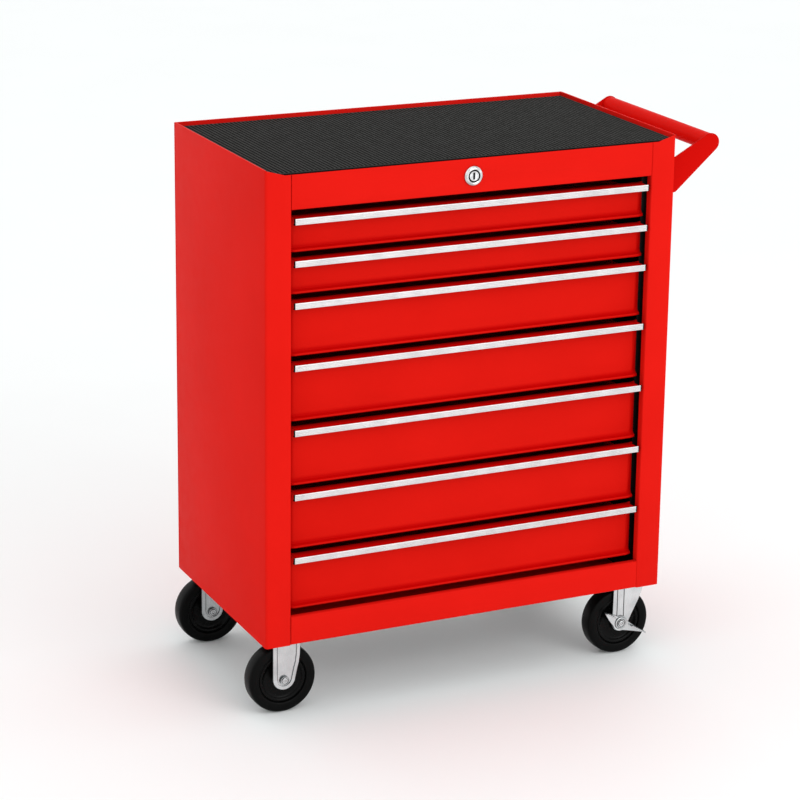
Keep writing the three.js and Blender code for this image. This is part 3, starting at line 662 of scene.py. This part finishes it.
def drawer_rim(number):
    """The folded-over rim round the drawer's open top, along its sides and back."""
    slide_low, slide_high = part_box(f"drawer_{number}_slide_left")
    centre = middle(f"drawer_{number}_body").x
    half = centre - slide_high.x - SLIDE_GAP
    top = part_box(f"drawer_{number}_pull")[1].z - RIM_BELOW_PULL
    front = slide_low.y - RIM_BEFORE_SLIDE
    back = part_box(f"drawer_{number}_body")[1].y
    corners = [(0, 0), (RIM_THICK, 0), (RIM_THICK, RIM_HEIGHT), (0, RIM_HEIGHT)]
    section = rounded(corners, RIM_ROUNDING, 3)
    path = [(-1, front, 0), (-1, back, 1), (1, back, 1), (1, front, 0)]
    loops = []
    for hand, y, corner in path:
        loops.append([
            (centre + hand * (half - u), y - u * corner, top - RIM_HEIGHT + v) for u, v in section
        ])
    return loft(loops)


FACE_BORDER = 8.5 * MM
BORDER_FALL = 2.6 * MM
FACE_ZONE = 20 * MM
FLARE_DEPTH = 5 * MM
FLARE_HEIGHT = 11 * MM
FLARE_RADIUS = (FLARE_HEIGHT ** 2 + FLARE_DEPTH ** 2) / (2 * FLARE_DEPTH)
FOOT_HEIGHT = 3.2 * MM
NEARBY = 0.1 * MM
ON_FLARE = 0.3 * MM


def cut_front(bm, front, place, normal):
    """Cuts the faces of a drawer's front sheet by a plane."""
    faces = [face for face in bm.faces if min(v.co.y for v in face.verts) < front + FACE_ZONE]
    around = dict.fromkeys(edge for face in faces for edge in face.edges)
    corners = dict.fromkeys(vert for face in faces for vert in face.verts)
    bmesh.ops.bisect_plane(
        bm, geom=[*corners, *around, *faces], dist=TOUCHING, plane_co=place, plane_no=normal
    )


def flare_reach(rise):
    """How far behind its foot the flared lower edge stands, at a height above the foot."""
    sine = (FLARE_HEIGHT - rise) / FLARE_RADIUS
    return FLARE_DEPTH - FLARE_RADIUS * (1 - math.sqrt(1 - sine ** 2))


def bordered(bm, node):
    """A drawer front folded back a little along its two ends, with an upright foot."""
    low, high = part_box(node)
    cut_front(bm, low.y, (0, 0, low.z + FOOT_HEIGHT), (0, 0, 1))
    foot = min(vert.co.y for vert in bm.verts if vert.co.z < low.z + NEARBY)
    for vert in bm.verts:
        rise = vert.co.z - low.z
        if rise < FOOT_HEIGHT + NEARBY and abs(vert.co.y - foot - flare_reach(rise)) < ON_FLARE:
            vert.co.y = foot
    for end, out in ((low.x, -1), (high.x, 1)):
        crease = end - out * FACE_BORDER
        cut_front(bm, low.y, (crease, 0, 0), (1, 0, 0))
        for vert in bm.verts:
            past = (vert.co.x - crease) * out
            if past > TOUCHING:
                vert.co.y += BORDER_FALL * past / FACE_BORDER
    return bm


def add_drawer(number):
    body = f"drawer_{number}"
    node = f"{body}_body"
    piece(f"{body}_shell", bordered(cad_copy(node), node), body, "drawer", [node], SOFT_EDGE)
    piece(f"{body}_rim", drawer_rim(number), body, "drawer")
    add_pull(number)
    for side in SIDES:
        slide = f"{body}_slide_{side}"
        add_pressing(f"{slide}_member", slide, body, "zinc", THIN_EDGE)


# ---- lock ----
LOCK_BORE = 7.1 * MM
LOCK_BARREL = 9.6 * MM
LOCK_SKIN = 3.7 * MM
LOCK_PLUG = 6.9 * MM
LOCK_FACE = 1.1 * MM
LOCK_STEPS = 64


def stepped(steps):
    """A closed mesh through (outline's reach, depth behind the plug's face) steps."""
    rings = [(polar(LOCK_STEPS, reach), LOCK_FACE + depth) for reach, depth in steps]
    return loft([lifted(ring, "y", y) for ring, y in rings])


def add_lock():
    low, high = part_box("lock_housing")
    centre = (low + high) / 2
    place = (centre.x, low.y, centre.z)
    flange = (high.x - low.x) / 2
    deep = high.y - low.y
    bezel = lathe([
        (LOCK_BORE, 1.9 * MM), (LOCK_BORE + 0.4 * MM, 1.0 * MM), (LOCK_BORE + 1.4 * MM, 0.75 * MM),
        (LOCK_BORE + 2.0 * MM, 0.2 * MM), (LOCK_BORE + 2.8 * MM, 0.0),
        (LOCK_BORE + 3.6 * MM, 0.15 * MM), (flange - 1.2 * MM, 1.2 * MM),
        (flange - 0.3 * MM, 2.2 * MM), (flange, 2.9 * MM), (flange, LOCK_SKIN),
        (LOCK_BARREL, LOCK_SKIN), (LOCK_BARREL, deep), (LOCK_BORE, deep),
    ], ring=True)
    piece("lock_bezel", moved(bezel, place), "root", "chrome", ["lock_housing"])

    plug = stepped([
        (circle(LOCK_PLUG), deep - LOCK_FACE),
        (circle(LOCK_PLUG), 0.5 * MM),
        (circle(LOCK_PLUG - 0.5 * MM), 0.0),
        (circle(5.4 * MM), 0.0),
        (circle(5.1 * MM), 0.4 * MM),
        (slot(1.6 * MM, 4.9 * MM), 0.4 * MM),
        (slot(1.2 * MM, 4.5 * MM), 0.9 * MM),
        (slot(1.1 * MM, 4.4 * MM), 7 * MM),
    ])
    piece("lock_plug_face", moved(plug, place), "lock_plug", "chrome", ["lock_cylinder"])
    # A black block in the keyway's slot stands in for the shade inside it: painted shade.
    keyway = stepped([
        (slot(1.0 * MM, 4.3 * MM), 1.2 * MM),
        (slot(1.0 * MM, 4.3 * MM), 6 * MM),
        (slot(0.8 * MM, 4.1 * MM), 6.4 * MM),
    ])
    piece("lock_keyway_shade", moved(keyway, place), "lock_plug", "plug")
    # A black ring on the bezel's inner chamfer round the plug: painted shade of the gap between
    # plug and bezel.
    gap_ring = lathe([
        (LOCK_BORE, 1.7 * MM), (LOCK_BORE + 0.1 * MM, 0.95 * MM), (LOCK_BORE + 0.6 * MM, 0.6 * MM),
        (LOCK_BORE + 1.2 * MM, 0.45 * MM), (LOCK_BORE + 1.5 * MM, 1.0 * MM),
        (LOCK_BORE + 0.6 * MM, 1.9 * MM),
    ], ring=True)
    piece("lock_gap_shade_ring", moved(gap_ring, place), "root", "plug")
    add_pressing("lock_tail_rod", "lock_rod", "lock_plug", "zinc", 0.2 * MM)
    add_pressing("lock_drop_bar", "lock_bar", "lock_bar", "zinc", THIN_EDGE)


# ---- side handle ----
FOOT_SHEET = 2.5 * MM
SCREW_RADIUS = 4.6 * MM
SCREW_RISE = 2.4 * MM
SCREW_SOCKET = 3.2 * MM
SCREW_INSET = 11 * MM
SCREW_HEIGHTS = (11 * MM, 34 * MM)
TUBE_WALL = 1.8 * MM
TUBE_CHAMFER = 0.3 * MM


def add_handle():
    for end in ENDS:
        node = f"handle_bracket_{end}"
        add_pressing(f"handle_arm_{end}", node, "root", "handle", 0.5 * MM)
        low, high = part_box(node)
        across = low.y + SCREW_INSET if end == "rear" else high.y - SCREW_INSET
        screws = []
        for height in SCREW_HEIGHTS:
            head = button_head(SCREW_RADIUS, SCREW_RISE, SCREW_SOCKET)
            screws.append(moved(head, (low.x + FOOT_SHEET, across, low.z + height), 90))
        piece(f"handle_screws_{end}", merged(screws), "root", "zinc")
    low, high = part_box("handle_grip")
    radius = (high.z - low.z) / 2
    bore = radius - TUBE_WALL
    half = (high.y - low.y) / 2
    tube = lathe([
        (bore, -half), (bore, half), (radius - TUBE_CHAMFER, half), (radius, half - TUBE_CHAMFER),
        (radius, -half + TUBE_CHAMFER), (radius - TUBE_CHAMFER, -half),
    ], ring=True)
    piece("handle_tube", moved(tube, middle("handle_grip")), "root", "paint", ["handle_grip"])


# ---- casters ----
TYRE = both_faces([
    (33.7 * MM, -8.0 * MM), (33.9 * MM, -10.6 * MM), (34.6 * MM, -11.5 * MM),
    (35.8 * MM, -11.9 * MM), (40.0 * MM, -12.0 * MM), (44.6 * MM, -11.9 * MM),
    (45.9 * MM, -11.3 * MM), (46.9 * MM, -10.2 * MM), (47.5 * MM, -8.6 * MM),
    (47.8 * MM, -5.5 * MM), (48.0 * MM, -2.0 * MM),
])
HUB = both_faces([
    (4.3 * MM, -13.0 * MM), (11.0 * MM, -13.0 * MM), (11.9 * MM, -12.5 * MM),
    (12.2 * MM, -11.6 * MM), (12.6 * MM, -8.4 * MM), (13.2 * MM, -7.6 * MM),
    (14.6 * MM, -7.1 * MM), (24.0 * MM, -6.9 * MM), (26.6 * MM, -7.2 * MM),
    (27.9 * MM, -8.0 * MM), (28.8 * MM, -9.4 * MM), (29.8 * MM, -10.1 * MM),
    (31.8 * MM, -10.2 * MM), (32.9 * MM, -9.8 * MM), (33.5 * MM, -8.9 * MM),
    (33.65 * MM, -7.5 * MM),
])
WHEEL_STEPS = 128


def add_wheel(caster):
    node = f"{caster}_wheel"
    place = middle(node)
    tyre = lathe(TYRE, WHEEL_STEPS, ring=True)
    hub = lathe(HUB, WHEEL_STEPS, ring=True)
    piece(f"{caster}_tyre", moved(tyre, place), node, "tyre", [node])
    piece(f"{caster}_hub", moved(hub, place), node, "hub")


AXLE_END = [
    (0.0, 0.7 * MM), (1.3 * MM, 0.8 * MM), (1.7 * MM, 1.5 * MM), (2.6 * MM, 1.9 * MM),
    (3.8 * MM, 1.7 * MM), (4.5 * MM, 1.0 * MM), (4.6 * MM, 0.2 * MM), (5.3 * MM, 0.2 * MM),
    (5.4 * MM, 1.2 * MM), (5.9 * MM, 1.3 * MM), (6.3 * MM, 0.9 * MM), (6.4 * MM, 0.0), (0.0, 0.0),
]
AXLE_HEAD = 2 * MM
AXLE_SHANK = 3.9 * MM
NUT_WASHER = 0.7 * MM
NUT_RADIUS = 6.4 * MM
NUT_ACROSS = 9.6 * MM
NUT_HEIGHT = 2.4 * MM


def add_axle(caster, body):
    """The axle: a plain shank, a riveted end in a collar in front and a nut behind."""
    node = f"{caster}_axle"
    low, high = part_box(node)
    centre = middle(node)
    length = high.y - low.y - AXLE_HEAD
    shank = prism(polar(32, circle(AXLE_SHANK)), "z", 0.0, length, 0.4 * MM)
    front = lathe([(radius, -rise) for radius, rise in AXLE_END], 64)
    head = hex_head(NUT_ACROSS, NUT_HEIGHT, NUT_WASHER)
    nut = merged([washer(NUT_RADIUS, NUT_WASHER), head])
    bolt = merged([
        moved(shank, (centre.x, high.y - AXLE_HEAD / 2, centre.z), 90, "X"),
        moved(front, (centre.x, low.y + AXLE_HEAD, centre.z)),
        moved(nut, (centre.x, high.y - NUT_HEIGHT - NUT_WASHER, centre.z), -90, "X"),
    ])
    piece(f"{caster}_bolt", bolt, body, "caster", [node])


LEG_RIM = 4.8 * MM
LEG_GROOVE = 1.5 * MM
LEG_GROOVE_DEPTH = 1.5 * MM
LEG_DISH = 0.5 * MM


def rimmed_leg(outline, inner, outer):
    """A pressed fork leg: a rim and a groove round a slightly sunken panel on its outer face."""
    out = 1 if outer > inner else -1
    return loft([
        lifted(inset(outline, LEG_EDGE), "y", inner),
        lifted(outline, "y", inner + out * LEG_EDGE),
        lifted(outline, "y", outer - out * LEG_EDGE),
        lifted(inset(outline, LEG_EDGE), "y", outer),
        lifted(inset(outline, LEG_RIM), "y", outer),
        lifted(inset(outline, LEG_RIM + 0.15 * MM), "y", outer - out * LEG_GROOVE_DEPTH),
        lifted(inset(outline, LEG_RIM + LEG_GROOVE), "y", outer - out * LEG_GROOVE_DEPTH),
        lifted(inset(outline, LEG_RIM + LEG_GROOVE + 0.3 * MM), "y", outer - out * LEG_DISH),
    ])


CREASES = (-5.0 * MM, 5.5 * MM)
CREASE_HALF = 0.7 * MM
CREASE_DEPTH = 1.0 * MM


def creased_leg(outline, inner, outer):
    """A fork leg with two upright creases pressed into its outer face."""
    bm = prism(outline, "y", min(inner, outer), max(inner, outer), LEG_EDGE)
    out = 1 if outer > inner else -1
    for crease in CREASES:
        for x in (crease - CREASE_HALF, crease, crease + CREASE_HALF):
            bmesh.ops.bisect_plane(
                bm, geom=bm.verts[:] + bm.edges[:] + bm.faces[:], dist=TOUCHING,
                plane_co=(x, 0, 0), plane_no=(1, 0, 0),
            )
        for vert in bm.verts:
            if abs(vert.co.x - crease) < TOUCHING and abs(vert.co.y - outer) < TOUCHING:
                vert.co.y -= out * CREASE_DEPTH
    return bm


PLATE_HALF = (30 * MM, 24 * MM)
PLATE_CORNER = 5 * MM
PLATE_THICK = 2.2 * MM
BOLTS_HALF = (25.3 * MM, 19.3 * MM)
BOLT_WASHER = 0.6 * MM
BOLT_RADIUS = 4.2 * MM
BOLT_ACROSS = 6.6 * MM
BOLT_HEIGHT = 2.6 * MM


def top_plate(node_low, node_high):
    """A mounting plate with rounded corners and the heads of its four bolts below."""
    middle_x = (node_low.x + node_high.x) / 2
    middle_y = (node_low.y + node_high.y) / 2
    half_x, half_y = PLATE_HALF
    corners = [(-half_x, -half_y), (half_x, -half_y), (half_x, half_y), (-half_x, half_y)]
    plate = prism(rounded(corners, PLATE_CORNER), "z", 0, PLATE_THICK)
    under = node_high.z - PLATE_THICK
    parts = [moved(plate, (middle_x, middle_y, under))]
    bolt_x, bolt_y = BOLTS_HALF
    for x in (-bolt_x, bolt_x):
        for y in (-bolt_y, bolt_y):
            head = hex_head(BOLT_ACROSS, BOLT_HEIGHT, BOLT_WASHER)
            bolt = merged([washer(BOLT_RADIUS, BOLT_WASHER), head])
            parts.append(moved(bolt, (middle_x + x, middle_y + y, under), 180, "X"))
    return parts


LEG_INNER = 14.2 * MM
LEG_OUTER = 16.2 * MM


def legs(make_leg, outline, place):
    return [moved(make_leg(outline, hand * LEG_INNER, hand * LEG_OUTER), place) for hand in (-1, 1)]


def add_rigid_caster(end):
    caster = f"rigid_{end}"
    node = f"{caster}_fork"
    low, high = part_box(node)
    axle = middle(f"{caster}_wheel")
    top = high.z - 1.2 * MM - axle.z
    outline = [
        *arc((0, 2.5 * MM), 16 * MM, 180, 352, 16), (18.6 * MM, 13 * MM), (21.4 * MM, 24 * MM),
        (22.7 * MM, 34 * MM), (23 * MM, 44 * MM), (23 * MM, top), (-16 * MM, top),
        (-16 * MM, 20 * MM),
    ]
    parts = legs(rimmed_leg, outline, axle) + top_plate(low, high)
    piece(f"{caster}_pressed_fork", merged(parts), "root", "caster", [node])
    add_wheel(caster)
    add_axle(caster, "root")


SWIVEL_TRAIL = 15 * MM


def upright(profile, ring=False):
    """A solid or ring turned about Z from (radius, z) pairs."""
    bm = lathe(profile, ring=ring)
    bm.transform(Matrix.Rotation(math.radians(90), 4, "X"))
    return bm


def add_swivel_caster(end):
    caster = f"swivel_{end}"
    axle = middle(f"{caster}_wheel")
    pivot = Vector((axle.x + SWIVEL_TRAIL, axle.y, 0))
    plate_low, plate_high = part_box(f"{caster}_plate")
    plate = plate_high.z
    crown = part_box(f"{caster}_fork")[1].z

    race = upright([
        (0, plate - 1.2 * MM), (20.5 * MM, plate - 2.0 * MM), (22 * MM, plate - 3.8 * MM),
        (22 * MM, crown + 5.6 * MM), (21.2 * MM, crown + 5.0 * MM), (19.6 * MM, crown + 4.7 * MM),
        (19.6 * MM, crown + 3.4 * MM), (21.2 * MM, crown + 3.1 * MM), (22 * MM, crown + 2.5 * MM),
        (22 * MM, crown + 0.9 * MM), (21.4 * MM, crown + 0.3 * MM), (0, crown + 0.3 * MM),
    ])
    pin = merged([
        prism(polar(32, circle(5 * MM)), "z", crown - 4 * MM, crown + 2 * MM),
        moved(hex_head(13 * MM, 4.6 * MM), (0, 0, crown - 2.4 * MM), 180, "X"),
    ])
    parts = top_plate(plate_low, plate_high) + [moved(race, pivot), moved(pin, pivot)]
    piece(f"{caster}_race_plate", merged(parts), "root", "caster", [f"{caster}_plate"])

    top = crown - axle.z - 0.6 * MM
    outline = [
        *arc((0, 0), 12.5 * MM, 180, 340, 14), (20.5 * MM, 14 * MM), (28.5 * MM, 29.5 * MM),
        (33.5 * MM, 42 * MM), (36 * MM, 51 * MM), (36.8 * MM, top), (-11 * MM, top),
        (-11.8 * MM, 20 * MM),
    ]
    cap = upright([
        (5.6 * MM, crown), (19 * MM, crown), (23 * MM, crown - 0.3 * MM),
        (24 * MM, crown - 1.0 * MM), (24 * MM, crown - 1.6 * MM), (23.6 * MM, crown - 2.0 * MM),
        (5.6 * MM, crown - 2.0 * MM),
    ], ring=True)
    parts = legs(creased_leg, outline, axle) + [moved(cap, pivot)]
    piece(f"{caster}_pressed_fork", merged(parts), f"{caster}_fork", "caster", [f"{caster}_fork"])
    add_brake_pedal(caster, axle)
    add_wheel(caster)
    add_axle(caster, f"{caster}_fork")


PEDAL_TILT = 31
PEDAL_SHEET = 2 * MM
TREAD_LEVEL = 3.2 * MM
TREAD_UNDER = TREAD_LEVEL - 0.6 * MM
TREAD_TOP = TREAD_LEVEL + 1.2 * MM
TREAD_CORNER = 1.6 * MM
GRIP_PITCH = 3.4 * MM
GRIP_HALF = 0.6 * MM
GRIP_UNDER = TREAD_LEVEL + 1.0 * MM
GRIP_TOP = TREAD_LEVEL + 1.6 * MM
GRIP_EDGE = 0.25 * MM
PEDAL_TREADS = ((-31.5 * MM, -15 * MM), (16 * MM, 43 * MM))


def add_brake_pedal(caster, axle):
    """The brake's rocking plate: a bulged leaf with its upper edge folded into two treads."""
    node = f"{caster}_brake_lever"
    low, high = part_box(node)
    near = low.y - axle.y
    back = high.y - axle.y
    face = back - PEDAL_SHEET
    outline = [
        (-32.4 * MM, TREAD_LEVEL), (-26.3 * MM, -0.5 * MM), (-20.2 * MM, -3.7 * MM),
        (-14.3 * MM, -6.4 * MM), *arc((0, 0), 11.9 * MM, 225, 315, 12),
        (16.5 * MM, -5.7 * MM), (25.1 * MM, -3.0 * MM), (34.3 * MM, -0.2 * MM),
        (43.9 * MM, 2.7 * MM), (43.9 * MM, TREAD_LEVEL + 1.0 * MM),
        (26 * MM, TREAD_LEVEL + 1.6 * MM), (13 * MM, TREAD_LEVEL + 3.2 * MM),
        *arc((0, 0), 10.4 * MM, 40, 140, 10), (-13 * MM, TREAD_LEVEL + 3.0 * MM),
        (-24 * MM, TREAD_LEVEL + 1.6 * MM),
    ]
    plate = prism(outline, "y", face, back, LEG_EDGE)
    boss = lathe([
        (6.7 * MM, face + 0.1 * MM), (6.7 * MM, face - 1.3 * MM), (7.1 * MM, face - 1.8 * MM),
        (8.0 * MM, face - 1.8 * MM), (8.9 * MM, face - 1.2 * MM), (9.4 * MM, face + 0.1 * MM),
    ], 64, ring=True)
    treads = []
    for left, right in PEDAL_TREADS:
        far = back - 1 * MM
        corners = [(left, near), (right, near), (right, far), (left, far)]
        treads.append(prism(rounded(corners, TREAD_CORNER), "z", TREAD_UNDER, TREAD_TOP))
        grips = round((right - left) / GRIP_PITCH)
        for i in range(1, grips):
            x = left + (right - left) * i / grips
            bar = [
                (x - GRIP_HALF, near + 1 * MM), (x + GRIP_HALF, near + 1 * MM),
                (x + GRIP_HALF, back - 3 * MM), (x - GRIP_HALF, back - 3 * MM),
            ]
            treads.append(prism(bar, "z", GRIP_UNDER, GRIP_TOP, GRIP_EDGE))
    pedal = merged([plate, boss, *treads])
    tilted = moved(pedal, axle, PEDAL_TILT)
    piece(f"{caster}_brake_pedal", tilted, f"{caster}_brake", "caster", [node])


# ---- stage ----
FLOOR_HALF = 30


def add_floor():
    mesh = bpy.data.meshes.new("floor")
    signs = [(-1, -1), (1, -1), (1, 1), (-1, 1)]
    corners = [(x * FLOOR_HALF, y * FLOOR_HALF, 0) for x, y in signs]
    mesh.from_pydata(corners, [], [(0, 1, 2, 3)])
    mesh.materials.append(pale_floor())
    floor = bpy.data.objects.new("floor", mesh)
    bpy.context.scene.collection.objects.link(floor)


WORLD_STRENGTH = 1.05
KEY_PLACE = (1.0, -3.4, 1.9)
KEY_AIM = (0, 0, 0.4)
KEY_SIZE = (2.4, 2.4)
KEY_POWER = 38


def add_light(name, place, aim, size, power):
    data = bpy.data.lights.new(name, "AREA")
    data.shape = "RECTANGLE"
    data.size, data.size_y = size
    data.energy = power
    light = bpy.data.objects.new(name, data)
    light.location = place
    light.rotation_euler = (Vector(aim) - Vector(place)).to_track_quat("-Z", "Y").to_euler()
    bpy.context.scene.collection.objects.link(light)


def add_lights():
    world = bpy.data.worlds.new("studio")
    world.use_nodes = True
    background = world.node_tree.nodes["Background"]
    background.inputs["Color"].default_value = (1.0, 1.0, 1.0, 1)
    background.inputs["Strength"].default_value = WORLD_STRENGTH
    bpy.context.scene.world = world
    add_light("key", KEY_PLACE, KEY_AIM, KEY_SIZE, KEY_POWER)
    bpy.context.scene.view_settings.view_transform = "Standard"


CAMERA_AZIMUTH = math.radians(-25.23)
CAMERA_ELEVATION = math.radians(15.89)
CAMERA_ROLL = math.radians(0.73)
CAMERA_DISTANCE = 3.70
CAMERA_TARGET = Vector((-0.066, 0.0, 0.4853))
CAMERA_LENS = 121.43
SENSOR = 36
CAMERA_SHIFT = -0.1


def add_camera():
    data = bpy.data.cameras.new("camera")
    data.lens = CAMERA_LENS
    data.sensor_width = SENSOR
    data.shift_y = CAMERA_SHIFT
    camera = bpy.data.objects.new("camera", data)
    bpy.context.scene.collection.objects.link(camera)
    back = Vector((
        math.sin(CAMERA_AZIMUTH) * math.cos(CAMERA_ELEVATION),
        -math.cos(CAMERA_AZIMUTH) * math.cos(CAMERA_ELEVATION),
        math.sin(CAMERA_ELEVATION),
    ))
    level = Vector((0, 0, 1)).cross(back).normalized()
    up = back.cross(level)
    right = math.cos(CAMERA_ROLL) * level + math.sin(CAMERA_ROLL) * up
    top = math.cos(CAMERA_ROLL) * up - math.sin(CAMERA_ROLL) * level
    place = CAMERA_TARGET + back * CAMERA_DISTANCE
    columns = Matrix((right, top, back)).transposed().to_4x4()
    camera.matrix_world = Matrix.Translation(place) @ columns
    bpy.context.scene.camera = camera


add_cabinet()
add_mat()
for drawer in range(1, DRAWER_COUNT + 1):
    add_drawer(drawer)
add_lock()
add_handle()
for caster_end in ENDS:
    add_rigid_caster(caster_end)
    add_swivel_caster(caster_end)
add_floor()
add_lights()
add_camera()
